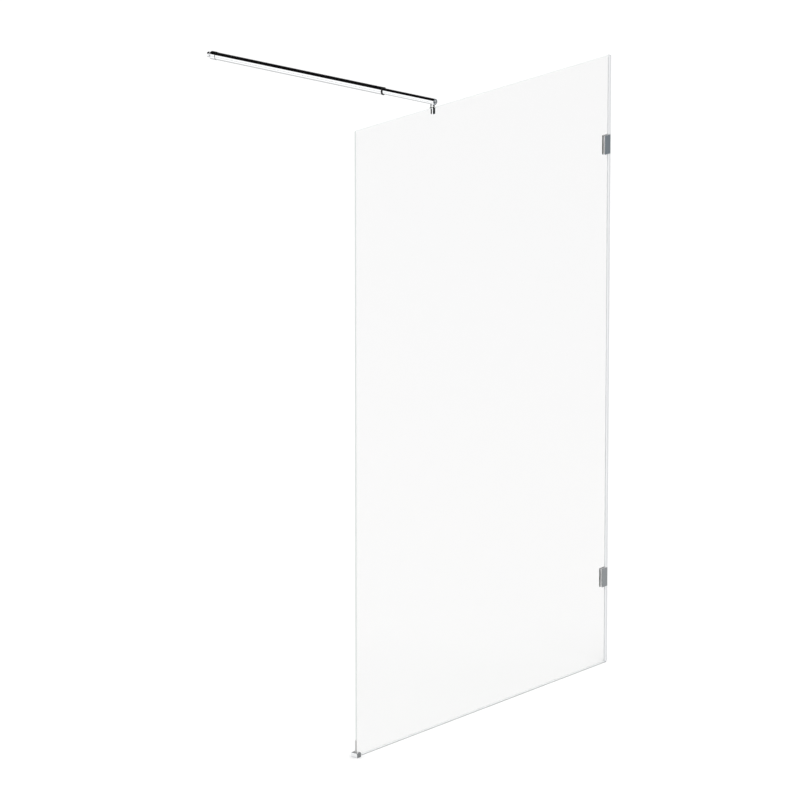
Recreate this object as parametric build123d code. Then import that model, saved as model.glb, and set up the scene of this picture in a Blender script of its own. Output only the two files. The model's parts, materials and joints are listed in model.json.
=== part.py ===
from build123d import *
from math import cos, radians, sin, sqrt
import os

os.makedirs("parts", exist_ok=True)

# A fixed walk-in shower screen. X runs along the glass from its free edge to the wall, Y from the
# glass to the far wall that holds the bar, and Z is up. The origin is on the floor, under the
# middle of the foot block and in the middle of the glass. All sizes are in millimetres.

# Screen
screen_width = 1200.0  # free edge of the glass to the face of the wall
screen_height = 1950.0  # floor to the top edge of the glass
glass_thickness = 6.0
glass_arris = 0.8  # small chamfer ground on every edge
glass_wall_gap = 4.5  # end of the glass to the wall
glass_floor_gap = 4.0  # bottom of the glass to the floor

# Wall brackets
bracket_from_edge = 280.0  # middle of a bracket to the top of the glass, or to the floor
bracket_height = 60.0
bracket_depth = 27.0
bracket_front_leg = 2.0
bracket_back_leg = 4.3
bracket_back_gap = 1.5  # room behind the glass, which the grub screws cross
bracket_web = 3.0
bracket_edge_round = 0.6
bracket_liner = 0.5
bracket_liner_setback = 1.0  # the liner stops this short of the bracket's ends
wall_screw_spacing = 36.0
wall_screw_hole = 4.0
wall_screw_head = 6.8
bracket_grub_spacing = 30.0
bracket_grub_inset = 10.0  # from the mouth of the bracket

# Wall seal, a clip that grips the glass and flares against the wall
seal_depth = 9.0
seal_skin = 1.0
seal_lip_round = 0.4
seal_foot_width = 12.0
seal_foot_skin = 0.8
seal_flare_hollow = 0.4  # how far each flank of the foot curves in from straight

# Floor seal, a strip with two feet under the glass
floor_seal_foot = 1.2
floor_seal_spread = 0.8  # how far each foot is set in from the side of the strip
floor_seal_bed = 1.4

# Foot block
foot_length = 18.0
foot_width = 23.5
foot_height = 14.5
foot_base = 3.0
foot_edge_round = 0.8
foot_liner_skin = 0.8
foot_liner_end = 1.0
foot_liner_proud = 0.5  # the liner's lips stand above the block
foot_screw_hole = 4.4
foot_screw_head = 7.2
foot_screw_x = 4.0
foot_grub_length = 6.0
edge_channel_height = 52.0  # floor to the top of the channel on the free edge
edge_channel_leg = 3.0

# Clamp that carries the bar on the glass
bar_x = 356.0  # free edge of the glass to the bar
clamp_diameter = 16.0
clamp_grip = 18.0  # how far the cheeks reach down the glass
clamp_liner_skin = 0.8
clamp_shoulder = 1.2
clamp_bevel = 1.5
clamp_end_round = 0.8
clamp_liner_inset = 0.3
clamp_grub_drop = 9.0  # top of the glass to the grub screw
neck_diameter = 14.0
neck_height = 6.0  # top of the glass to the top of the neck
washer_thickness = 1.0

# Swivel on the clamp
swivel_bolt_diameter = 6.0
swivel_bolt_setback = 0.4  # the bolt's end above the clamp's slot
swivel_head_diameter = 10.0
swivel_head_height = 3.5
swivel_key = 3.0
swivel_key_depth = 3.0
saddle_base = 3.4  # thinnest part of the saddle, under the tube
saddle_horn = 3.2  # how far the saddle climbs the side of the tube
seat_height = 2.5
seat_length = 20.0
seat_start = -6.0  # the seat's end nearest the cap, from the middle of the glass

# Bar
wall_distance = 890.0  # middle of the glass to the wall that holds the bar
outer_diameter = 24.0
inner_diameter = 19.0
tube_wall = 1.5
outer_tube_length = 654.4
inner_tube_length = 600.0
inner_tube_overhang = 8.5  # how far the inner tube passes the middle of the glass
cap_thickness = 2.5
cap_spigot = 2.0
cap_edge_round = 1.0
cap_dimple_radius = 4.5
cap_dimple_depth = 0.9
end_ring_length = 8.0
end_ring_spigot = 12.0
end_ring_groove = 0.4
bush_flange = 2.0
bush_edge = 0.6
bush_lip = 3.0
bush_lip_skin = 1.2
guide_length = 12.0
guide_spigot = 15.0

# Wall swivel
cup_diameter = 26.0
cup_barrel = 17.5  # start of the barrel to the pivot
cup_groove_width = 1.5
cup_groove_depth = 1.2
cup_spigot = 15.0
cup_spigot_bore = 14.0
cup_spigot_bore_depth = 12.0
cup_edge = 0.5
cup_screw_from_end = 7.0
cup_screw_length = 4.6
swing_angle = 45.0
pivot_pin_diameter = 5.0
pivot_pin_inset = 0.5
eye_radius = 6.5
tongue_width = 10.0
tongue_thickness = 8.0
fork_relief = 1.0
boss_diameter = 17.0
boss_thickness = 6.0
boss_reach = 12.0  # boss face to the pivot
boss_edge = 0.5
boss_stud_hole = 5.0
boss_stud_depth = 8.0

# Grub screws
grub_diameter = 5.0
grub_key = 2.5
small_grub_diameter = 4.0
small_grub_key = 2.0
grub_key_depth = 1.4
grub_bevel = 0.3
grub_recess = 0.4  # how far a grub screw sits below the face

# Clearances
thread_gap = 0.05  # round a screw in its tapped hole
pivot_gap = 0.05  # round a pin or bolt that something turns on
slide_gap = 0.05  # between a bush and the tube that slides in it
press_gap = 0.05  # round a plug pushed into a tube
free_gap = 0.3  # between round parts that pass each other
swivel_gap = 0.1  # between faces that turn on each other
fork_gap = 0.15  # each side of the tongue in its fork
swing_gap = 0.4  # between the nose of the cup and the face of the boss
hole_gap = 0.3  # round a screw that passes through a plain hole

# Places worked out from the sizes
half_glass = glass_thickness / 2
glass_end = screen_width - glass_wall_gap
bracket_slot = half_glass + bracket_liner
bracket_mouth = screen_width - bracket_depth
upper_bracket_z = screen_height - bracket_from_edge
lower_bracket_z = bracket_from_edge
half_bracket = bracket_height / 2
foot_end = foot_length / 2
foot_slot = half_glass + foot_liner_skin
clamp_slot = half_glass + clamp_liner_skin
clamp_slot_top = screen_height + clamp_liner_skin
neck_top = screen_height + neck_height
saddle_bottom = neck_top + washer_thickness + swivel_gap
inner_radius = inner_diameter / 2
outer_radius = outer_diameter / 2
inner_bore = inner_radius - tube_wall
outer_bore = outer_radius - tube_wall
bar_z = saddle_bottom + saddle_base + inner_radius
boss_face = wall_distance - boss_thickness
pivot_y = boss_face - boss_reach
outer_tube_end = pivot_y - cup_barrel - cup_groove_width
outer_tube_start = outer_tube_end - outer_tube_length
end_ring_start = outer_tube_start - end_ring_length
inner_tube_start = -inner_tube_overhang
inner_tube_end = inner_tube_start + inner_tube_length


def block(x0, x1, y0, y1, z0, z1):
    """A box between two opposite corners."""
    centre = Pos((x0 + x1) / 2, (y0 + y1) / 2, (z0 + z1) / 2)
    return centre * Box(x1 - x0, y1 - y0, z1 - z0)


def post(x, y, radius, z0, z1):
    """An upright cylinder from z0 to z1."""
    return Pos(x, y, (z0 + z1) / 2) * Cylinder(radius, z1 - z0)


def rod(radius, y0, y1):
    """A cylinder on the axis of the bar, from y0 to y1."""
    return Pos(bar_x, (y0 + y1) / 2, bar_z) * Rot(90, 0, 0) * Cylinder(radius, y1 - y0)


def turned_on_bar(outline):
    """A solid turned about the axis of the bar. The outline is in radius and Y."""
    placed = Pos(bar_x, 0, bar_z) * outline
    return revolve(placed, Axis((bar_x, 0, bar_z), (0, 1, 0)), 360)


def grub_screw(diameter, length, key):
    """A socket set screw along Z, with its socket at the top and its top at the origin."""
    body = Pos(0, 0, -length / 2) * Cylinder(diameter / 2, length)
    body = chamfer(body.edges().filter_by(GeomType.CIRCLE), grub_bevel)
    socket = extrude(RegularPolygon(key / sqrt(3), 6), -min(grub_key_depth, length / 2))
    return body - socket


def edges_at_height(solid, height):
    """The edges of a solid that lie in the level plane at one height."""
    return solid.edges().filter_by_position(Axis.Z, height - 0.01, height + 0.01)


def glass_panel():
    panel = block(0, glass_end, -half_glass, half_glass, glass_floor_gap, screen_height)
    return chamfer(panel.edges(), glass_arris)


def bracket_face_y():
    """The outer faces of a wall bracket's front and back legs."""
    return -bracket_slot - bracket_front_leg, bracket_slot + bracket_back_gap + bracket_back_leg


def wall_bracket(z):
    """A U of solid bar, open towards the glass, with two countersunk holes in its web."""
    front, back = bracket_face_y()
    z0 = z - half_bracket
    z1 = z + half_bracket
    body = block(bracket_mouth, screen_width, front, back, z0, z1)
    outer_edges = body.edges().filter_by(Axis.Z) + body.edges().group_by(Axis.X)[0]
    body = fillet(outer_edges.filter_by(lambda e: e.center().X < screen_width - 1), bracket_edge_round)
    web_face = screen_width - bracket_web
    back_slot = bracket_slot + bracket_back_gap
    body -= block(bracket_mouth - 1, web_face, -bracket_slot, back_slot, z0 - 1, z1 + 1)
    sink_depth = (wall_screw_head - wall_screw_hole) / 2
    for side in (-1, 1):
        screw_z = z + side * wall_screw_spacing / 2
        hole = Cylinder(wall_screw_hole / 2, bracket_web + 2)
        sink = Cone(wall_screw_head / 2, wall_screw_hole / 2, sink_depth)
        along_x = Rot(0, 90, 0)
        body -= Pos(screen_width - bracket_web / 2, 0, screw_z) * along_x * hole
        body -= Pos(web_face + sink_depth / 2, 0, screw_z) * along_x * sink
        grub_z = z + side * bracket_grub_spacing / 2
        tapped = Cylinder(grub_diameter / 2 + thread_gap, bracket_back_leg + 1)
        leg_middle = back_slot + bracket_back_leg / 2
        body -= Pos(bracket_mouth + bracket_grub_inset, leg_middle, grub_z) * Rot(90, 0, 0) * tapped
    return body


def bracket_liner_strip(z):
    """A soft channel between the bracket and the glass."""
    z0 = z - half_bracket + bracket_liner_setback
    z1 = z + half_bracket - bracket_liner_setback
    mouth = bracket_mouth + bracket_liner_setback
    strip = block(mouth, screen_width - bracket_web, -bracket_slot, bracket_slot, z0, z1)
    return strip - block(mouth - 1, glass_end, -half_glass, half_glass, z0 - 1, z1 + 1)


def bracket_grub_screws(z):
    """Two screws in the back leg that press the glass against the front leg."""
    back = bracket_face_y()[1]
    screw = grub_screw(grub_diameter, back - grub_recess - bracket_slot, grub_key)
    screws = []
    for side in (-1, 1):
        spot = Pos(bracket_mouth + bracket_grub_inset, back - grub_recess, z + side * bracket_grub_spacing / 2)
        screws.append(spot * Rot(-90, 0, 0) * screw)
    return Compound(children=screws)


def seal_flank(start, end, hollow):
    """An arc between two points of the seal's outline, curved in towards the middle of the glass."""
    middle = ((start[0] + end[0]) / 2, (start[1] + end[1]) / 2)
    inwards = -hollow if middle[1] > 0 else hollow
    return ThreePointArc(start, (middle[0] + hollow, middle[1] + inwards), end)


def wall_seal(z0, z1):
    """A clear clip round the end of the glass, with a hollow foot that flares to the wall."""
    grip = half_glass + seal_skin
    mouth = screen_width - seal_depth
    neck = glass_end + seal_skin
    half_foot = seal_foot_width / 2
    clip = Polyline(
        (neck, grip),
        (mouth, grip),
        (mouth, half_glass),
        (glass_end, half_glass),
        (glass_end, -half_glass),
        (mouth, -half_glass),
        (mouth, -grip),
        (neck, -grip),
    )
    left = seal_flank((neck, grip), (screen_width, half_foot), seal_flare_hollow)
    right = seal_flank((neck, -grip), (screen_width, -half_foot), seal_flare_hollow)
    base = Line((screen_width, half_foot), (screen_width, -half_foot))
    outline = make_face(clip + left + base + right)
    outline = fillet(outline.vertices().group_by(Axis.X)[0], seal_lip_round)
    inner_x = screen_width - seal_foot_skin
    inner_foot = half_foot - 2 * seal_foot_skin
    hollow = Polygon(
        (neck, half_glass),
        (inner_x, inner_foot),
        (inner_x, -inner_foot),
        (neck, -half_glass),
        align=None,
    )
    return extrude(Pos(0, 0, z0) * (outline - hollow), z1 - z0, dir=(0, 0, 1))


def floor_seal():
    """A soft strip under the glass, from the foot block to the wall, on two feet."""
    top = glass_floor_gap
    bed = top - floor_seal_bed
    outer_foot = half_glass - floor_seal_spread
    inner_foot = outer_foot - floor_seal_foot
    groove_top = bed - floor_seal_spread
    outline = Polygon(
        (half_glass, top),
        (-half_glass, top),
        (-half_glass, bed),
        (-outer_foot, 0),
        (-inner_foot, 0),
        (-inner_foot / 2, groove_top),
        (inner_foot / 2, groove_top),
        (inner_foot, 0),
        (outer_foot, 0),
        (half_glass, bed),
        align=None,
    )
    placed = Plane.YZ.offset(foot_end) * outline
    return extrude(placed, screen_width - foot_end, dir=(1, 0, 0))


def foot_block():
    """A block with a slot for the corner of the glass and a countersunk hole in its base."""
    half_width = foot_width / 2
    body = block(-foot_end, foot_end, -half_width, half_width, 0, foot_height)
    outer_edges = body.edges().filter_by(Axis.Z) + edges_at_height(body, foot_height)
    body = fillet(outer_edges, foot_edge_round)
    body -= block(-foot_liner_end, foot_end + 1, -foot_slot, foot_slot, foot_base, foot_height + 1)
    sink_depth = (foot_screw_head - foot_screw_hole) / 2
    body -= post(foot_screw_x, 0, foot_screw_hole / 2, -1, foot_base + 1)
    sink = Cone(foot_screw_hole / 2, foot_screw_head / 2, sink_depth)
    body -= Pos(foot_screw_x, 0, foot_base - sink_depth / 2) * sink
    tapped = Cylinder(grub_diameter / 2 + thread_gap, half_width - foot_slot + 1)
    body -= Pos(foot_screw_x, (half_width + foot_slot) / 2, foot_grub_z()) * Rot(90, 0, 0) * tapped
    return body


def foot_grub_z():
    """Half way up the cheek, beside the glass."""
    return (foot_base + foot_height) / 2


def foot_liner():
    """A soft lining of the slot, which runs on up the free edge as a channel."""
    lip = foot_height + foot_liner_proud
    lining = block(-foot_liner_end, foot_end, -foot_slot, foot_slot, foot_base, lip)
    channel = block(-foot_liner_end, edge_channel_leg, -foot_slot, foot_slot, foot_base, edge_channel_height)
    body = lining + channel
    body -= block(0, foot_end + 1, -half_glass, half_glass, glass_floor_gap, edge_channel_height + 1)
    return body


def foot_grub_screw():
    screw = grub_screw(grub_diameter, foot_grub_length, grub_key)
    return Pos(foot_screw_x, foot_slot + foot_grub_length, foot_grub_z()) * Rot(-90, 0, 0) * screw


def bar_clamp_body():
    """A slotted round clamp that sits on the top edge of the glass, with a neck for the swivel."""
    bottom = screen_height - clamp_grip
    shoulder = clamp_slot_top + clamp_shoulder
    cheeks = post(bar_x, 0, clamp_diameter / 2, bottom, shoulder)
    cheeks = fillet(edges_at_height(cheeks, bottom), clamp_end_round)
    bevel = Cone(clamp_diameter / 2, neck_diameter / 2, clamp_bevel)
    body = cheeks + Pos(bar_x, 0, shoulder + clamp_bevel / 2) * bevel
    body += post(bar_x, 0, neck_diameter / 2, shoulder, neck_top)
    reach = clamp_diameter
    body -= block(bar_x - reach, bar_x + reach, -clamp_slot, clamp_slot, bottom - 1, clamp_slot_top)
    body -= post(bar_x, 0, swivel_bolt_diameter / 2, bottom, neck_top + 1)
    tapped = Cylinder(grub_diameter / 2 + thread_gap, clamp_diameter / 2)
    middle = clamp_slot + clamp_diameter / 4
    body -= Pos(bar_x, middle, screen_height - clamp_grub_drop) * Rot(90, 0, 0) * tapped
    return body


def bar_clamp_liner():
    """A soft saddle over the edge of the glass, between the cheeks."""
    bottom = screen_height - clamp_grip + clamp_end_round
    pad = post(bar_x, 0, clamp_diameter / 2 - clamp_liner_inset, bottom, clamp_slot_top)
    reach = clamp_diameter
    pad &= block(bar_x - reach, bar_x + reach, -clamp_slot, clamp_slot, bottom, clamp_slot_top)
    return pad - block(bar_x - reach, bar_x + reach, -half_glass, half_glass, bottom - 1, screen_height)


def bar_clamp_grub_screw():
    """A screw in the back cheek, short enough to stay below the round face."""
    face = clamp_diameter / 2 - grub_recess - grub_bevel
    screw = grub_screw(grub_diameter, face - clamp_slot, grub_key)
    return Pos(bar_x, face, screen_height - clamp_grub_drop) * Rot(-90, 0, 0) * screw


def swivel_washer():
    """A slippery washer between the neck and the saddle."""
    ring = post(bar_x, 0, neck_diameter / 2, neck_top, neck_top + washer_thickness)
    return ring - post(bar_x, 0, swivel_bolt_diameter / 2 + pivot_gap, neck_top - 1, saddle_bottom)


def bolt_head_z():
    """The underside of the bolt's head, inside the tube."""
    return bar_z - inner_bore + seat_height + swivel_gap


def swivel_bolt():
    """The bolt that the bar turns on. Its head is in the tube and its socket in the clamp's slot."""
    head_z = bolt_head_z()
    head_top = head_z + swivel_head_height
    end_z = clamp_slot_top + swivel_bolt_setback
    shank = post(bar_x, 0, swivel_bolt_diameter / 2, end_z, head_z)
    head = post(bar_x, 0, swivel_head_diameter / 2, head_z, head_top)
    head = fillet(edges_at_height(head, head_top), swivel_head_height / 3)
    socket = extrude(RegularPolygon(swivel_key / sqrt(3), 6), swivel_key_depth, dir=(0, 0, 1))
    return shank + head - Pos(bar_x, 0, end_z) * socket


def bar_saddle():
    """A round block hollowed to the underside of the inner tube."""
    top = bar_z - inner_radius + saddle_horn
    body = post(bar_x, 0, neck_diameter / 2, saddle_bottom, top)
    body -= rod(inner_radius, -neck_diameter, neck_diameter)
    return body - post(bar_x, 0, swivel_bolt_diameter / 2 + pivot_gap, saddle_bottom - 1, top)


def bolt_seat():
    """A half-round block inside the tube that gives the bolt's head a flat seat."""
    seat_top = bar_z - inner_bore + seat_height
    body = rod(inner_bore, seat_start, seat_start + seat_length)
    reach = inner_bore + 1
    lower = block(bar_x - reach, bar_x + reach, -seat_length, seat_length, bar_z - reach, seat_top)
    body &= lower
    return body - post(bar_x, 0, swivel_bolt_diameter / 2 + pivot_gap, bar_z - reach, bar_z)


def inner_tube():
    body = rod(inner_radius, inner_tube_start, inner_tube_end)
    body -= rod(inner_bore, inner_tube_start - 1, inner_tube_end + 1)
    return body - post(bar_x, 0, swivel_bolt_diameter / 2 + hole_gap, bar_z - outer_radius, bar_z)


def bar_end_cap():
    """A cap with a rounded edge, a shallow dimple in its face and a spigot inside the tube."""
    face = inner_tube_start - cap_thickness
    spigot = inner_bore - press_gap
    flat_edge = inner_radius - cap_edge_round
    lean = cap_edge_round * sin(radians(45))
    dimple = ThreePointArc(
        (0, face + cap_dimple_depth),
        (cap_dimple_radius / 2, face + cap_dimple_depth * 3 / 4),
        (cap_dimple_radius, face),
    )
    flat = Line(dimple @ 1, (flat_edge, face))
    edge_middle = (flat_edge + lean, face + cap_edge_round - lean)
    edge = ThreePointArc(flat @ 1, edge_middle, (inner_radius, face + cap_edge_round))
    back = Polyline(
        edge @ 1,
        (inner_radius, inner_tube_start),
        (spigot, inner_tube_start),
        (spigot, inner_tube_start + cap_spigot),
        (0, inner_tube_start + cap_spigot),
        (0, face + cap_dimple_depth),
    )
    return turned_on_bar(make_face(dimple + flat + edge + back))


def inner_tube_guide():
    """A plastic plug on the hidden end of the inner tube that runs in the outer tube."""
    spigot = rod(inner_bore - press_gap, inner_tube_end - guide_spigot, inner_tube_end)
    runner = rod(outer_bore - 2 * slide_gap, inner_tube_end, inner_tube_end + guide_length)
    return spigot + chamfer(runner.edges().filter_by(GeomType.CIRCLE), grub_bevel)


def outer_tube():
    body = rod(outer_radius, outer_tube_start, outer_tube_end)
    body -= rod(outer_bore, outer_tube_start - 1, outer_tube_end + 1)
    screw_y = outer_tube_end - cup_screw_from_end
    hole = small_grub_diameter / 2 + hole_gap
    return body - post(bar_x, screw_y, hole, bar_z - outer_radius - 1, bar_z)


def tube_end_ring():
    """A ring pushed into the mouth of the outer tube, as wide as the tube."""
    bore = inner_radius + free_gap
    step = bore + bush_lip_skin
    spigot = outer_bore - press_gap
    outline = Polygon(
        (step, end_ring_start),
        (outer_radius, end_ring_start),
        (outer_radius, outer_tube_start - end_ring_groove),
        (outer_radius - end_ring_groove, outer_tube_start),
        (spigot, outer_tube_start),
        (spigot, outer_tube_start + end_ring_spigot),
        (bore, outer_tube_start + end_ring_spigot),
        (bore, end_ring_start + bush_lip),
        (step, end_ring_start + bush_lip),
        align=None,
    )
    ring = turned_on_bar(outline)
    hole = small_grub_diameter / 2 + thread_gap
    return ring - post(bar_x, lock_screw_y(), hole, bar_z - outer_radius - 1, bar_z - inner_radius)


def lock_screw_y():
    """The middle of the ring's plain part, behind the bush."""
    return (end_ring_start + bush_lip + outer_tube_start) / 2


def guide_bush():
    """A black plastic bush at the mouth of the outer tube."""
    bore = inner_radius + slide_gap
    lip = inner_radius + free_gap + bush_lip_skin - press_gap
    front = end_ring_start - bush_flange
    outline = Polygon(
        (bore, front + bush_edge),
        (bore + bush_edge, front),
        (outer_radius - bush_edge, front),
        (outer_radius, front + bush_edge),
        (outer_radius, end_ring_start),
        (lip, end_ring_start),
        (lip, end_ring_start + bush_lip),
        (bore, end_ring_start + bush_lip),
        align=None,
    )
    return turned_on_bar(outline)


def bar_lock_screw():
    """A screw under the ring that locks the inner tube."""
    length = outer_radius - grub_recess - inner_radius - free_gap
    screw = grub_screw(small_grub_diameter, length, small_grub_key)
    return Pos(bar_x, lock_screw_y(), bar_z - outer_radius + grub_recess) * Rot(180, 0, 0) * screw


def swivel_cup():
    """The fork of the wall swivel: a plug for the tube, a groove, a barrel and a coned nose.

    Seen from above, the nose is an arc about the pivot, and the cone is its tangent at the swing
    angle, so that the cup turns that far before its flank is square to the boss.
    """
    radius = cup_diameter / 2
    nose = boss_reach - swing_gap
    swing = radians(swing_angle)
    cone_start = pivot_y + (nose - radius * sin(swing)) / cos(swing)
    barrel_start = outer_tube_end + cup_groove_width
    spigot = outer_bore - press_gap
    spigot_start = outer_tube_end - cup_spigot
    groove = outer_radius - cup_groove_depth
    flank = Polyline(
        (0, spigot_start + cup_spigot_bore_depth),
        (cup_spigot_bore / 2, spigot_start + cup_spigot_bore_depth),
        (cup_spigot_bore / 2, spigot_start),
        (spigot, spigot_start),
        (spigot, outer_tube_end),
        (groove, outer_tube_end),
        (groove, barrel_start),
        (radius - cup_edge, barrel_start),
        (radius, barrel_start + cup_edge),
        (radius, cone_start),
        (nose * sin(swing), pivot_y + nose * cos(swing)),
    )
    half = swing / 2
    arc = ThreePointArc(flank @ 1, (nose * sin(half), pivot_y + nose * cos(half)), (0, pivot_y + nose))
    close = Line(arc @ 1, flank @ 0)
    body = turned_on_bar(make_face(flank + arc + close))
    half_slot = tongue_thickness / 2 + fork_gap
    slot = block(
        bar_x - radius - 1,
        bar_x + radius + 1,
        pivot_y - fork_relief,
        boss_face,
        bar_z - half_slot,
        bar_z + half_slot,
    )
    slot += post(bar_x, pivot_y, eye_radius + free_gap, bar_z - half_slot, bar_z + half_slot)
    body -= slot
    body -= post(bar_x, pivot_y, pivot_pin_diameter / 2, bar_z - radius, bar_z + radius)
    screw_y = outer_tube_end - cup_screw_from_end
    hole = small_grub_diameter / 2 + thread_gap
    return body - post(bar_x, screw_y, hole, bar_z - outer_radius, bar_z - cup_spigot_bore / 2 + 1)


def cup_fixing_screw():
    """A screw through the underside of the outer tube into the cup's plug."""
    screw = grub_screw(small_grub_diameter, cup_screw_length, small_grub_key)
    top = bar_z - outer_radius + grub_recess
    return Pos(bar_x, outer_tube_end - cup_screw_from_end, top) * Rot(180, 0, 0) * screw


def pivot_pin():
    half_length = cup_diameter / 2 - pivot_pin_inset
    pin = post(bar_x, pivot_y, pivot_pin_diameter / 2, bar_z - half_length, bar_z + half_length)
    return chamfer(pin.edges().filter_by(GeomType.CIRCLE), grub_bevel)


def wall_boss():
    """A round boss with a flat tongue that ends in the eye of the swivel."""
    boss = rod(boss_diameter / 2, boss_face, wall_distance)
    boss = chamfer(boss.edges().filter_by(GeomType.CIRCLE).group_by(Axis.Y)[0], boss_edge)
    z0 = bar_z - tongue_thickness / 2
    z1 = bar_z + tongue_thickness / 2
    half_tongue = tongue_width / 2
    tongue = block(bar_x - half_tongue, bar_x + half_tongue, pivot_y, boss_face + boss_edge, z0, z1)
    body = boss + tongue + post(bar_x, pivot_y, eye_radius, z0, z1)
    body -= post(bar_x, pivot_y, pivot_pin_diameter / 2 + pivot_gap, z0 - 1, z1 + 1)
    return body - rod(boss_stud_hole / 2, wall_distance - boss_stud_depth, wall_distance + 1)


def all_parts():
    """Every piece of the screen under its own name."""
    upper = upper_bracket_z
    lower = lower_bracket_z
    return {
        "glass_panel": glass_panel(),
        "wall_seal_top": wall_seal(upper + half_bracket, screen_height),
        "wall_seal_middle": wall_seal(lower + half_bracket, upper - half_bracket),
        "wall_seal_bottom": wall_seal(glass_floor_gap, lower - half_bracket),
        "floor_seal": floor_seal(),
        "upper_wall_bracket": wall_bracket(upper),
        "upper_bracket_liner": bracket_liner_strip(upper),
        "upper_bracket_grub_screws": bracket_grub_screws(upper),
        "lower_wall_bracket": wall_bracket(lower),
        "lower_bracket_liner": bracket_liner_strip(lower),
        "lower_bracket_grub_screws": bracket_grub_screws(lower),
        "foot_block": foot_block(),
        "foot_liner": foot_liner(),
        "foot_grub_screw": foot_grub_screw(),
        "bar_clamp_body": bar_clamp_body(),
        "bar_clamp_liner": bar_clamp_liner(),
        "bar_clamp_grub_screw": bar_clamp_grub_screw(),
        "swivel_washer": swivel_washer(),
        "swivel_bolt": swivel_bolt(),
        "bar_saddle": bar_saddle(),
        "bolt_seat": bolt_seat(),
        "inner_tube": inner_tube(),
        "bar_end_cap": bar_end_cap(),
        "inner_tube_guide": inner_tube_guide(),
        "outer_tube": outer_tube(),
        "tube_end_ring": tube_end_ring(),
        "guide_bush": guide_bush(),
        "bar_lock_screw": bar_lock_screw(),
        "swivel_cup": swivel_cup(),
        "cup_fixing_screw": cup_fixing_screw(),
        "pivot_pin": pivot_pin(),
        "wall_boss": wall_boss(),
    }


for name, shape in all_parts().items():
    export_step(shape, f"parts/{name}.step")
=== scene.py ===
# %% [markdown]
# A walk-in shower screen is almost nothing but one big pane of glass, so what makes it look real is small:
# the pale line of each polished edge, the black and white bands in the chrome, and the soft seals.
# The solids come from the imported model, which fixes every size. This script adds the camera, the studio,
# a finish for every piece, and a few finer surfaces where the eye comes close.

import json
import math

import bpy
import numpy as np
from mathutils import Matrix, Vector


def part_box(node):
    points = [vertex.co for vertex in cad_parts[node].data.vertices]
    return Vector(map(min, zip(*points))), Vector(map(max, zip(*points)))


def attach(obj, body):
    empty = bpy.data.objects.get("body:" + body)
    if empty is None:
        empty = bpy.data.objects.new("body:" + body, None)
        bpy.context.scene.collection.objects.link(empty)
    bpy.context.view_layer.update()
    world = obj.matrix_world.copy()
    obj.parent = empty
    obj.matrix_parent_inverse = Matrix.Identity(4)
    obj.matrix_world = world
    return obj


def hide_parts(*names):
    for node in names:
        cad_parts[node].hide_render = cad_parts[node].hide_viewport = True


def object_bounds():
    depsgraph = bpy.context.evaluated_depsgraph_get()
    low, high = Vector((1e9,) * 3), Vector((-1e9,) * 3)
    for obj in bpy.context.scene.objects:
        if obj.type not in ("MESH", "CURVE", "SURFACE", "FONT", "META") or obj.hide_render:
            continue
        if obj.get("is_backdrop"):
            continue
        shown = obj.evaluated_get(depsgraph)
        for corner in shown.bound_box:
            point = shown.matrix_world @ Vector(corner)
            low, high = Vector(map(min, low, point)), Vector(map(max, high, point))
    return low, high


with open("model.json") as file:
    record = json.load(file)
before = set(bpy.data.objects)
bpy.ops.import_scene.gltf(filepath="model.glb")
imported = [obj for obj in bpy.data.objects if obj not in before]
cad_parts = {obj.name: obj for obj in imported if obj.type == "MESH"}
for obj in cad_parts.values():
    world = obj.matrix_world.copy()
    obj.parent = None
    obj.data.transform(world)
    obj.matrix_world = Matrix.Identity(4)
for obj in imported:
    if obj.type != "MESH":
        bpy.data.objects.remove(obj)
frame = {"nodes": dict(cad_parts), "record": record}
nodes = frame["nodes"]
cad_low, cad_high = (np.array(corner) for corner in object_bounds())
MM = 0.001
print("nodes:", len(nodes), "box in mm:", (cad_low / MM).round(1), (cad_high / MM).round(1))

# %% [markdown]
# A product picture of something this large is taken from far away with a long lens, which keeps the tall
# edges nearly parallel. The camera looks at a point on the pane, from the free edge's side and from above.
# Blender's camera looks along its own -Z, so its axes are the right, up and back directions of the view.

# %% Camera
VIEW_AZIMUTH = math.radians(-49.895)  # 0 looks along +Y
VIEW_ELEVATION = math.radians(16.503)
VIEW_DISTANCE = 25.625
VIEW_TARGET = Vector((0.2054, 0.0, 1.0758))
SENSOR_WIDTH = 36.0
FOCAL_LENGTH = 384.65

back = Vector((
    math.sin(VIEW_AZIMUTH) * math.cos(VIEW_ELEVATION),
    -math.cos(VIEW_AZIMUTH) * math.cos(VIEW_ELEVATION),
    math.sin(VIEW_ELEVATION),
))
right = Vector((math.cos(VIEW_AZIMUTH), math.sin(VIEW_AZIMUTH), 0.0))
up = back.cross(right)

camera_data = bpy.data.cameras.new("camera")
camera_data.sensor_width = SENSOR_WIDTH
camera_data.lens = FOCAL_LENGTH
camera_data.clip_start = 0.5
camera_data.clip_end = 200.0
camera = bpy.data.objects.new("camera", camera_data)
axes = Matrix((right, up, back)).transposed().to_4x4()
camera.matrix_world = Matrix.Translation(VIEW_TARGET + back * VIEW_DISTANCE) @ axes
bpy.context.scene.collection.objects.link(camera)
bpy.context.scene.camera = camera
print("camera at", [round(c, 3) for c in camera.location])

# %% [markdown]
# Shader graphs are easier to read as arithmetic than as boxes and wires. A Wire holds one output socket,
# and Python's operators on it add Math nodes. Graph.add makes any other node from its type, its settings
# and what goes into its sockets.

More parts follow.
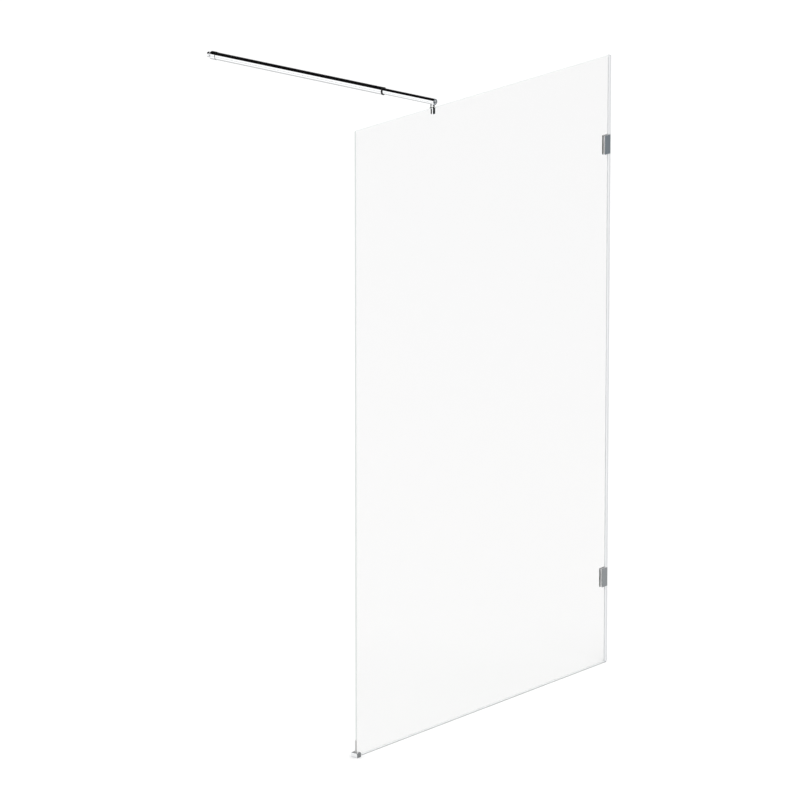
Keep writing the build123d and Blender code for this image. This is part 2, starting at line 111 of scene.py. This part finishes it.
# %% Shader graphs as expressions
class Wire:
    """One output socket. Arithmetic on wires and numbers adds Math nodes to the graph."""

    def __init__(self, graph, socket):
        self.graph = graph
        self.socket = socket

    def math(self, operation, *values):
        return self.graph.add("ShaderNodeMath", {"operation": operation}, dict(enumerate(values)))

    def __add__(self, other):
        return self.math("ADD", self, other)

    def __radd__(self, other):
        return self.math("ADD", other, self)

    def __sub__(self, other):
        return self.math("SUBTRACT", self, other)

    def __rsub__(self, other):
        return self.math("SUBTRACT", other, self)

    def __mul__(self, other):
        return self.math("MULTIPLY", self, other)

    def __rmul__(self, other):
        return self.math("MULTIPLY", other, self)

    def __abs__(self):
        return self.math("ABSOLUTE", self)

    def larger(self, other):
        return self.math("MAXIMUM", self, other)

    def rise(self, low, high):
        """0 below low, 1 above high, and a smooth step between."""
        settings = {"interpolation_type": "SMOOTHSTEP"}
        sockets = {"Value": self, "From Min": low, "From Max": high}
        return self.graph.add("ShaderNodeMapRange", settings, sockets)


class Graph:
    """The node tree of a material or of the world."""

    def __init__(self, owner):
        owner.use_nodes = True
        self.tree = owner.node_tree
        self.tree.nodes.clear()

    def add(self, kind, settings=None, sockets=None, output=0):
        """Make a node, set it, feed its sockets with numbers, colours or wires, and return one output."""
        node = self.tree.nodes.new(kind)
        for name, value in (settings or {}).items():
            setattr(node, name, value)
        for name, value in (sockets or {}).items():
            if isinstance(value, Wire):
                self.tree.links.new(value.socket, node.inputs[name])
            else:
                node.inputs[name].default_value = value
        return Wire(self, node.outputs[output]) if node.outputs else node

    def split(self, vector):
        """The three components of a vector."""
        parts = self.add("ShaderNodeSeparateXYZ", None, {0: vector})
        node = parts.socket.node
        return [Wire(self, socket) for socket in node.outputs]

    def mirrored(self):
        """1 for light that has met a mirror and no matt surface since, else 0."""
        reflections = self.add("ShaderNodeLightPath", output="Glossy Depth")
        scattered = self.add("ShaderNodeLightPath", output="Is Diffuse Ray")
        return reflections.rise(0.0, 1.0) * (1 - scattered)

    def blend(self, share, first, second):
        """A colour that goes from first to second as share goes from 0 to 1."""
        return self.add("ShaderNodeMix", {"data_type": "RGBA"}, {0: share, 6: first, 7: second}, output=2)


def grey(value):
    """An opaque neutral colour."""
    return (value, value, value, 1.0)


print("a neutral colour:", grey(0.5))

# %% [markdown]
# Chrome has no colour of its own: it shows the room. The photograph's chrome is black on top and white on
# the side, so this studio has a dark ceiling, a long white wall and a pale ground. Only mirror rays see
# that room. Every other ray sees even white, which gives soft light with hardly a shadow. The room is
# drawn by direction: compass angle from x and y, height from z.

# %% Directions in the studio
WHITE_WALL = math.radians(142.0)  # compass direction of the long white wall, from +X towards +Y
SLATE_WALL = math.radians(-40.0)  # a grey screen opposite, which the front faces of the brackets mirror
WHITE_CARD = math.radians(213.0)  # a card beside the camera, which the round clamp mirrors
BACK_WALL = math.radians(47.0)  # a dim wall behind the glass, for the tops and the backs of the fittings

world = bpy.data.worlds.new("studio")
bpy.context.scene.world = world
studio = Graph(world)
x, y, z = studio.split(studio.add("ShaderNodeTexCoord"))


def toward(compass):
    """1 straight ahead in that compass direction, and 0 overhead or at a right angle to it."""
    return x * math.cos(compass) + y * math.sin(compass)


def left_of(compass):
    """0 straight ahead in that compass direction, and 1 at a right angle to its left."""
    return y * math.cos(compass) - x * math.sin(compass)


def band(signal, middle, core, edge):
    """1 where the signal is within core of the middle, falling smoothly to 0 at edge."""
    return 1 - abs(signal - middle).rise(core, edge)


compass_points = [round(math.degrees(wall)) for wall in (WHITE_WALL, SLATE_WALL, WHITE_CARD, BACK_WALL)]
print("the walls, the screen and the card stand at", compass_points, "degrees")

# %% [markdown]
# Each wall is a product of smooth steps: one for how far round it reaches, one for how high. Heights are the
# sine of the angle above the horizon, so the ground is below zero. The walls that overlap are joined by
# taking the brighter one. The long wall is brightest in its middle, so that flat backs come out light grey.

# %% Walls for the reflections
WALL_LIGHT = 1.25
DARKEST = 0.003
SKIRTING_LEVEL = -0.2765
CARD_LEVEL = -0.284

white = toward(WHITE_WALL)
skirting = band(z, SKIRTING_LEVEL, 0.034, 0.040) * white.rise(0.915, 0.935)
wall_fade = 1 - 0.65 * abs(left_of(WHITE_WALL)).rise(0.14, 0.55)
long_wall = white.rise(0.52, 0.62) * (1 - z.rise(0.42, 0.47)) * (1 - skirting) * wall_fade
card = toward(WHITE_CARD).rise(0.87, 0.91) * band(z, CARD_LEVEL, 0.12, 0.16)
low_wall = toward(SLATE_WALL).rise(0.3, 0.5) * z.rise(0.0, 0.06) * (1 - z.rise(0.45, 0.6))
back_wall = toward(BACK_WALL).rise(0.86, 0.92) * (1 - z.rise(0.36, 0.44)) * (0.22 + 0.1 * z)
ground = (0 - z).rise(0.33, 0.37) * (1.0 - 0.45 * x.rise(-0.45, -0.1))
shade = long_wall.larger(0.75 * low_wall).larger(ground).larger(card).larger(back_wall).larger(DARKEST)
print("nodes for the walls:", len(world.node_tree.nodes))

# %% [markdown]
# The fronts of the brackets are blue-grey in the upper one and lighter in the lower one. Both mirror the same
# screen, a little higher or lower, so its shade changes with height. Everything but a mirror ray sees white.

# %% Grey screen and the two worlds
AIR_LIGHT = 0.98
SLATE_LEVEL = -0.255
SLATE_GREY = 0.23
SLATE_SLOPE = 2.4
COOL_TINT = (0.9, 1.02, 1.12, 1.0)
PLAIN_TINT = (0.98, 1.01, 1.03, 1.0)

slate_foot = 1 - 0.40 * (0 - z).rise(0.308, 0.316)
slate = (SLATE_GREY - SLATE_SLOPE * (z - SLATE_LEVEL)) * slate_foot
slate_reach = toward(SLATE_WALL).rise(0.5, 0.6) * band(left_of(SLATE_WALL), 0.0, 0.09, 0.13)
screen = slate_reach * (0 - z).rise(0.13, 0.17) * slate
slate_tint = studio.blend((0 - z).rise(0.26, 0.30), COOL_TINT, PLAIN_TINT)
walls = studio.blend(screen, studio.blend(shade, grey(0.0), grey(WALL_LIGHT)), slate_tint)
seen = studio.add("ShaderNodeBackground", None, {"Color": grey(1.0), "Strength": AIR_LIGHT})
mirrored = studio.add("ShaderNodeBackground", None, {"Color": walls, "Strength": 1.0})
either = studio.add("ShaderNodeMixShader", None, {0: studio.mirrored(), 1: seen, 2: mirrored})
studio.add("ShaderNodeOutputWorld", None, {"Surface": either})
print("nodes in the whole world:", len(world.node_tree.nodes))

# %% [markdown]
# A very large soft sun adds what the even light lacks: the sides that face it come out a little brighter.
# Mirror rays don't see it, because it would put a white stripe on top of the bar. The floor is white
# paper. A mirror ray meets it only close by, under the foot block, and farther off it sees the room.

# %% Sun and floor
SUN_DIRECTION = Vector((-0.45, -0.6, 0.66))
SUN_STRENGTH = 1.0
SUN_ANGLE = math.radians(60.0)
FLOOR_SIZE = 80.0
FLOOR_GAP = 0.2 * MM  # under the part, so that the two don't share a plane
MIRROR_REACH = 0.12

sun_data = bpy.data.lights.new("soft_sun", "SUN")
sun_data.energy = SUN_STRENGTH
sun_data.angle = SUN_ANGLE
sun = bpy.data.objects.new("soft_sun", sun_data)
sun.rotation_euler = SUN_DIRECTION.to_track_quat("Z", "Y").to_euler()
sun.visible_glossy = False
bpy.context.scene.collection.objects.link(sun)


def finish(name, build):
    """Make a material: build(graph) returns its shader."""
    material = bpy.data.materials.new(name)
    graph = Graph(material)
    graph.add("ShaderNodeOutputMaterial", None, {"Surface": build(graph)})
    return material


def paper_shader(graph):
    """White paper that mirror rays pass through, except close by and beyond the end of the foot."""
    paper = graph.add("ShaderNodeBsdfPrincipled", None, {"Base Color": grey(0.92), "Roughness": 0.9})
    distance = graph.add("ShaderNodeLightPath", output="Ray Length")
    along, across, _ = graph.split(graph.add("ShaderNodeTexCoord", output="Object"))
    beyond_foot = (cad_low[0] - along).rise(0.0, FLOOR_GAP) * (across - cad_low[1]).rise(0.0, FLOOR_GAP)
    near = 1 - distance.rise(0.8 * MIRROR_REACH, MIRROR_REACH)
    passes = graph.mirrored() * (1 - near * beyond_foot)
    nothing = graph.add("ShaderNodeBsdfTransparent")
    return graph.add("ShaderNodeMixShader", None, {0: passes, 1: paper, 2: nothing})


floor_mesh = bpy.data.meshes.new("floor")
half = FLOOR_SIZE / 2
corners = [(-half, -half, 0.0), (half, -half, 0.0), (half, half, 0.0), (-half, half, 0.0)]
floor_mesh.from_pydata(corners, [], [(0, 1, 2, 3)])
floor_mesh.materials.append(finish("white_paper", paper_shader))
floor = bpy.data.objects.new("floor", floor_mesh)
floor.location.z = -FLOOR_GAP
bpy.context.scene.collection.objects.link(floor)
floor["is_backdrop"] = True
bpy.context.scene.view_settings.view_transform = "Standard"
print("floor", FLOOR_SIZE, "m square, lower than the part by", round(FLOOR_GAP / MM, 2), "mm")

# %% [markdown]
# Clear glass bends light on its two faces, which the Principled shader does by itself. The edges need
# help: light that enters one is trapped between the faces and comes out far away, so a renderer with a
# limited number of bounces shows them black. A real edge is ground and polished, and glows pale green.
# The normal tells which faces are edges, and a Mix Shader gives those a pale, soft surface. Its colour is
# painted light that stands in for the glow, and the edge that faces up is painted lighter than the sides,
# as if lit from above.

# %% Glass
GLASS_BEND = 1.5  # index of refraction


def glass_shader(graph):
    """Clear through the faces, painted-light edges with the top one lighter, and open to light that only
    casts shadows.
    """
    clear = graph.add("ShaderNodeBsdfPrincipled", None, {
        "Base Color": (0.984, 0.980, 0.978, 1.0),
        "Roughness": 0.0,
        "IOR": GLASS_BEND,
        "Transmission Weight": 1.0,
    })
    where = graph.add("ShaderNodeTexCoord", output="Object")
    cloud = graph.add("ShaderNodeTexNoise", None, {"Vector": where, "Scale": 3.0, "Detail": 2.0})
    normal = graph.split(graph.add("ShaderNodeNewGeometry", output="Normal"))
    side_colour = graph.blend(cloud, (0.60, 0.63, 0.62, 1.0), (0.64, 0.67, 0.66, 1.0))
    # painted light: the edge that faces up is painted lighter than the side edges, as if lit from above
    painted_edge_glow = graph.blend(normal[2].rise(0.5, 0.8), side_colour, (0.85, 0.88, 0.87, 1.0))
    edge = graph.add("ShaderNodeBsdfPrincipled", None, {
        "Base Color": painted_edge_glow,
        "Roughness": 0.25,
        "IOR": GLASS_BEND,
    })
    on_edge = 1 - abs(normal[1]).rise(0.8, 0.95)
    pane = graph.add("ShaderNodeMixShader", None, {0: on_edge, 1: clear, 2: edge})
    shadow_ray = graph.add("ShaderNodeLightPath", output="Is Shadow Ray")
    soft_ray = graph.add("ShaderNodeLightPath", output="Is Diffuse Ray")
    open_air = graph.add("ShaderNodeBsdfTransparent", None, {"Color": (0.99, 0.995, 0.992, 1.0)})
    return graph.add("ShaderNodeMixShader", None, {0: shadow_ray.larger(soft_ray), 1: pane, 2: open_air})


print("glass with an index of refraction of", GLASS_BEND)

# %% [markdown]
# Polished chrome is a mirror with a trace of haze. Its roughness wanders a little between the buffed and
# the handled places, and a very fine noise stands for the marks that polishing leaves.

# %% Chrome and steel
CHROME = (0.86, 0.87, 0.88, 1.0)
HAZE_SCALE = 35.0


def chrome_shader(graph):
    """A mirror with a faint haze that varies over a few centimetres."""
    where = graph.add("ShaderNodeTexCoord", output="Object")
    haze = graph.add("ShaderNodeTexNoise", None, {"Vector": where, "Scale": HAZE_SCALE, "Detail": 4.0})
    marks = graph.add("ShaderNodeTexNoise", None, {"Vector": where, "Scale": 1800.0, "Detail": 2.0})
    return graph.add("ShaderNodeBsdfPrincipled", None, {
        "Base Color": CHROME,
        "Metallic": 1.0,
        "Roughness": 0.03 + haze * 0.04 + marks * 0.02,
    })


def steel_shader(graph):
    """Turned stainless steel, duller than the chrome."""
    where = graph.add("ShaderNodeTexCoord", output="Object")
    grain = graph.add("ShaderNodeTexNoise", None, {"Vector": where, "Scale": 900.0, "Detail": 6.0})
    return graph.add("ShaderNodeBsdfPrincipled", None, {
        "Base Color": graph.blend(grain, (0.46, 0.46, 0.47, 1.0), (0.62, 0.62, 0.63, 1.0)),
        "Metallic": 1.0,
        "Roughness": 0.2 + grain * 0.2,
    })


print("chrome", CHROME[:3])

# %% [markdown]
# The soft parts are extruded or moulded plastic. The clear seal is milky rather than clear when it is seen
# edge on, and it carries faint lines along its length from the die that shaped it. The liners are soft and
# dull: clear in the brackets, black in the clamp. All of them have the fine grain of their mould.

# %% Plastics
SEAL_CLIP_END = 1193.0 * MM
SEAL_FOOT_START = 1197.0 * MM


def clear_seal_shader(graph):
    """Pale flexible plastic with die lines that run up the seal, milkier towards the wall."""
    where = graph.add("ShaderNodeTexCoord", output="Object")
    foot_share = graph.split(where)[0].rise(SEAL_CLIP_END, SEAL_FOOT_START)
    stretched = graph.add("ShaderNodeMapping", None, {"Vector": where, "Scale": (1.0, 1.0, 0.004)})
    lines = graph.add("ShaderNodeTexNoise", None, {"Vector": stretched, "Scale": 1400.0, "Detail": 3.0})
    bump = graph.add("ShaderNodeBump", None, {"Height": lines, "Strength": 0.15, "Distance": 0.0002})
    clip = graph.blend(lines, (0.76, 0.77, 0.78, 1.0), (0.82, 0.83, 0.84, 1.0))
    foot = graph.blend(lines, (0.60, 0.61, 0.62, 1.0), (0.65, 0.66, 0.67, 1.0))
    return graph.add("ShaderNodeBsdfPrincipled", None, {
        "Base Color": graph.blend(foot_share, clip, foot),
        "Roughness": 0.22 + lines * 0.12,
        "Normal": bump,
    })


def moulded_shader(dark, light, roughness, gloss=0.5):
    """A moulded plastic between two greys. A gloss of 0.5 is that of common plastic."""
    def build(graph):
        where = graph.add("ShaderNodeTexCoord", output="Object")
        grain = graph.add("ShaderNodeTexNoise", None, {"Vector": where, "Scale": 2500.0, "Detail": 3.0})
        bump = graph.add("ShaderNodeBump", None, {"Height": grain, "Strength": 0.2, "Distance": 0.0001})
        return graph.add("ShaderNodeBsdfPrincipled", None, {
            "Base Color": graph.blend(grain, grey(dark), grey(light)),
            "Roughness": roughness + grain * 0.15,
            "Specular IOR Level": gloss,
            "Normal": bump,
        })
    return build


FINISHES = {
    "glass": finish("clear_glass", glass_shader),
    "chrome": finish("polished_chrome", chrome_shader),
    "stainless": finish("turned_steel", steel_shader),
    "clear_seal": finish("milky_seal", clear_seal_shader),
    "clear_liner": finish("clear_liner", moulded_shader(0.84, 0.92, 0.35)),
    "grey_liner": finish("grey_liner", moulded_shader(0.46, 0.54, 0.55)),
    "black_rubber": finish("black_rubber", moulded_shader(0.006, 0.014, 0.75, 0.15)),
    "black_nylon": finish("black_nylon", moulded_shader(0.008, 0.02, 0.6, 0.15)),
    "white_nylon": finish("white_nylon", moulded_shader(0.74, 0.82, 0.45)),
}

for part in frame["record"]["subparts"]:
    mesh = nodes[part["node"]].data
    mesh.materials.clear()
    mesh.materials.append(FINISHES[part["material_slot"]])
print("finishes:", len(FINISHES))

# %% [markdown]
# The strip under the glass has a soft clear bed that takes the edge of the pane, and two feet that seal
# against the floor. The feet are coloured near black as painted contact shade, where the strip meets the
# floor. Height decides which of them a point belongs to, so one material with a smooth step on the object's
# own Z does for both.

# %% Strip under the glass
FEET_TOP = 1.3 * MM
BED_BOTTOM = 1.6 * MM


def floor_strip_shader(graph):
    """Painted contact shade, near black, on the feet, and milky plastic above them."""
    where = graph.add("ShaderNodeTexCoord", output="Object")
    height = graph.split(where)[2]
    grain = graph.add("ShaderNodeTexNoise", None, {"Vector": where, "Scale": 1200.0, "Detail": 3.0})
    # painted contact shade: the feet are coloured near black to stand in for the shade where the strip meets
    # the floor
    feet = graph.blend(grain, grey(0.02), grey(0.05))
    bed = graph.blend(grain, (0.88, 0.90, 0.91, 1.0), (0.93, 0.95, 0.96, 1.0))
    return graph.add("ShaderNodeBsdfPrincipled", None, {
        "Base Color": graph.blend(height.rise(FEET_TOP, BED_BOTTOM), feet, bed),
        "Roughness": 0.25 + grain * 0.12,
    })


nodes["floor_seal"].data.materials[0] = finish("floor_strip_painted_shade", floor_strip_shader)
print("feet up to", FEET_TOP / MM, "mm, bed from", BED_BOTTOM / MM, "mm")

# %% [markdown]
# Two thin dark rings cross the bright bar. The groove before the cup of the wall swivel is painted shade: its
# floor is coloured dark and dull where shade falls. The front of the ring at the bar's joint is drawn dark
# and dull as well, as dark as the black bush that it holds. Each band is found from the end of the solid
# beside it, so one function makes both finishes.

# %% Dark bands on the bar
SOFT_EDGE = 0.05 * MM
GROOVE_WIDTH = 1.5 * MM
RING_FRONT = 1.8 * MM
tube_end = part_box("outer_tube")[1][1]
ring_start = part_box("tube_end_ring")[0][1]


def banded_chrome(start, width):
    """Polished chrome with one dark, dull band round the bar, from start along Y."""
    def build(graph):
        where = graph.add("ShaderNodeTexCoord", output="Object")
        along_bar = graph.split(where)[1] - start
        past_start = (along_bar + SOFT_EDGE).rise(0.0, SOFT_EDGE)
        past_end = (along_bar - width + SOFT_EDGE).rise(0.0, SOFT_EDGE)
        dark = past_start * (1 - past_end)
        haze = graph.add("ShaderNodeTexNoise", None, {"Vector": where, "Scale": HAZE_SCALE, "Detail": 4.0})
        return graph.add("ShaderNodeBsdfPrincipled", None, {
            "Base Color": graph.blend(dark, CHROME, grey(0.012)),
            "Metallic": 1 - dark,
            "Roughness": (0.04 + haze * 0.04).larger(0.8 * dark),
        })
    return build


# painted shade: the groove's dark band stands in for the shade inside the groove
nodes["swivel_cup"].data.materials[0] = finish("chrome_painted_groove_shade", banded_chrome(tube_end, GROOVE_WIDTH))
ring_finish = finish("dark_fronted_chrome", banded_chrome(ring_start, RING_FRONT))
nodes["tube_end_ring"].data.materials[0] = ring_finish
print("bands at", round(tube_end / MM, 2), "and", round(ring_start / MM, 2), "mm along the bar")

# %% [markdown]
# The lining of the foot runs on up the free edge as a channel. Its nose, in front of the edge of the glass,
# is grey. Its two legs are painted nearly white: painted light, so that the front face reads as lit and the
# end face, which keeps the grey, reads as shaded. The nose ends where the glass begins, at zero along X.

# %% Channel on the free edge
NOSE_END = -0.3 * MM
LEG_START = 0.1 * MM


def edge_channel_shader(graph):
    """A grey nose and legs painted pale as painted light, told apart by the distance along the glass."""
    where = graph.add("ShaderNodeTexCoord", output="Object")
    along = graph.split(where)[0]
    grain = graph.add("ShaderNodeTexNoise", None, {"Vector": where, "Scale": 1500.0, "Detail": 3.0})
    nose = graph.blend(grain, grey(0.44), grey(0.52))
    # painted light: the legs are coloured nearly white so that the front face comes out brighter than the
    # grey end face
    legs = graph.blend(grain, grey(0.86), grey(0.93))
    return graph.add("ShaderNodeBsdfPrincipled", None, {
        "Base Color": graph.blend(along.rise(NOSE_END, LEG_START), nose, legs),
        "Roughness": 0.4 + grain * 0.15,
    })


nodes["foot_liner"].data.materials[0] = finish("edge_channel_painted_light", edge_channel_shader)
print("nose up to", NOSE_END / MM, "mm, legs from", LEG_START / MM, "mm")

# %% [markdown]
# Set screws hold the glass and the bar, and they show wherever a bracket is seen from behind. The solids
# are plain pins with a socket, which is all that their fit needs. A real one is rolled with a thread, so
# each is drawn again here as one closed surface: a stack of rings, from the middle of the socket, out over
# the top, down the thread and in under the point. Sizes are read from the box of the solid.

# %% A closed surface from a stack of rings
def ring_skin(rings):
    """Vertices and faces: four-sided faces between neighbouring rings, and a fan at each end.

    rings[i, j] is the point of ring i in column j. The first and the last ring are single points.
    """
    count, columns = rings.shape[:2]
    vertices = np.concatenate([rings[0, :1], rings[1:-1].reshape(-1, 3), rings[-1, :1]])
    index = 1 + np.arange((count - 2) * columns).reshape(count - 2, columns)
    beside = np.roll(index, -1, axis=1)
    sides = np.stack([index[:-1], index[1:], beside[1:], beside[:-1]], axis=-1).reshape(-1, 4)
    first = np.stack([np.zeros_like(index[0]), index[0], beside[0]], axis=-1)
    last = np.stack([np.full_like(index[0], len(vertices) - 1), beside[-1], index[-1]], axis=-1)
    return vertices, sides.tolist() + first.tolist() + last.tolist()


trial_points, trial_faces = ring_skin(np.zeros((4, 6, 3)))
print("4 rings of 6 columns make", len(trial_points), "points and", len(trial_faces), "faces")

# %% [markdown]
# A thread is a ridge that climbs as it goes round. If the ridge is a wave along the height, then adding a
# share of a full turn to the wave's phase makes it climb one pitch for each time round, and no point has to
# be placed by hand. The socket is a hexagon, whose distance from the axis also follows from the angle.

# %% Rings of a set screw
SCREW_COLUMNS = 48
SCREW_BEVEL = 0.3 * MM
SOCKET_DEPTH = 1.4 * MM
RINGS_PER_TURN = 10
THREAD_PITCH = {5: 0.8 * MM, 4: 0.7 * MM}  # by the screw's diameter in millimetres
THREAD_DEPTH = 0.45  # of the pitch


def set_screw_rings(radius, length):
    """Rings of a socket set screw that stands on its point, with its top at z = 0.

    In the socket a ring is a hexagon: half the key over the cosine of the angle to the nearest flat.
    On the thread it is the screw's radius less a triangle wave of height over pitch plus angle over a
    full turn, so that the ridge climbs one pitch each time round. The wave fades out over one pitch at
    both ends.
    """
    angle = np.linspace(0.0, 2 * np.pi, SCREW_COLUMNS, endpoint=False)
    key = radius
    hexagon = key / 2 / np.cos(np.mod(angle, np.pi / 3) - np.pi / 6)
    pitch = THREAD_PITCH[round(2 * radius / MM)]
    turns = (length - 2 * SCREW_BEVEL) / pitch
    height = np.linspace(-SCREW_BEVEL, SCREW_BEVEL - length, int(turns * RINGS_PER_TURN))
    ends = np.minimum(-SCREW_BEVEL - height, height + length - SCREW_BEVEL)
    fade = np.clip(ends / pitch, 0.0, 1.0)
    phase = np.mod(height[:, None] / pitch + angle / (2 * np.pi), 1.0)
    wave = 1 - np.abs(2 * phase - 1)
    thread = radius - THREAD_DEPTH * pitch * fade[:, None] * wave
    floor_height = -min(SOCKET_DEPTH, length / 2)
    ring = np.ones_like(angle)
    rim = (radius - SCREW_BEVEL) * ring
    radii = np.vstack([0 * ring, hexagon, hexagon, rim, thread, rim, 0 * ring])
    heights = np.concatenate([[floor_height, floor_height, 0.0, 0.0], height, [-length, -length]])
    return np.stack([radii * np.cos(angle), radii * np.sin(angle), heights[:, None] * ring], axis=-1)


print("rings and columns of a 5 x 6 mm screw:", set_screw_rings(2.5 * MM, 6.0 * MM).shape[:2])

# %% [markdown]
# Each screw is turned the way its socket faces: out of the back of a bracket, the foot or the clamp, or
# down under the bar. A bracket has two screws in one piece. The surface goes where the solid is, takes its
# finish, and rides on the same body.

# %% Set screws in their holes
TURNS = {
    "back": np.array([(1.0, 0.0, 0.0), (0.0, 0.0, -1.0), (0.0, 1.0, 0.0)]),
    "down": np.array([(1.0, 0.0, 0.0), (0.0, -1.0, 0.0), (0.0, 0.0, -1.0)]),
}
SET_SCREWS = {
    "upper_bracket_grub_screws": "back",
    "lower_bracket_grub_screws": "back",
    "foot_grub_screw": "back",
    "bar_clamp_grub_screw": "back",
    "bar_lock_screw": "down",
    "cup_fixing_screw": "down",
}
body_of = {node: body for body, members in frame["record"]["behaviour"]["bodies"].items() for node in members}

for node, way in SET_SCREWS.items():
    low, high = (np.array(corner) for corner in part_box(node))
    middle = (low + high) / 2
    radius = (high[0] - low[0]) / 2
    if way == "back":
        length = high[1] - low[1]
        levels = np.unique(np.round([low[2] + radius, high[2] - radius], 6))
        tops = [(middle[0], high[1], level) for level in levels]
    else:
        length = high[2] - low[2]
        tops = [(middle[0], middle[1], low[2])]
    points, faces = ring_skin(set_screw_rings(radius, length))
    vertices = np.concatenate([points @ TURNS[way] + top for top in tops])
    starts = range(0, len(tops) * len(points), len(points))
    all_faces = [[corner + start for corner in face] for start in starts for face in faces]
    mesh = bpy.data.meshes.new(f"{node}_threaded")
    mesh.from_pydata(vertices.tolist(), [], all_faces)
    mesh.polygons.foreach_set("use_smooth", np.ones(len(mesh.polygons), dtype=bool))
    mesh.set_sharp_from_angle(angle=math.radians(40.0))
    mesh.materials.append(FINISHES["stainless"])
    screw = bpy.data.objects.new(f"{node}_threaded", mesh)
    bpy.context.scene.collection.objects.link(screw)
    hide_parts(node)
    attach(screw, body_of[node])
    print(node, "x", len(tops), "length", round(length / MM, 2), "mm, faces", len(all_faces))
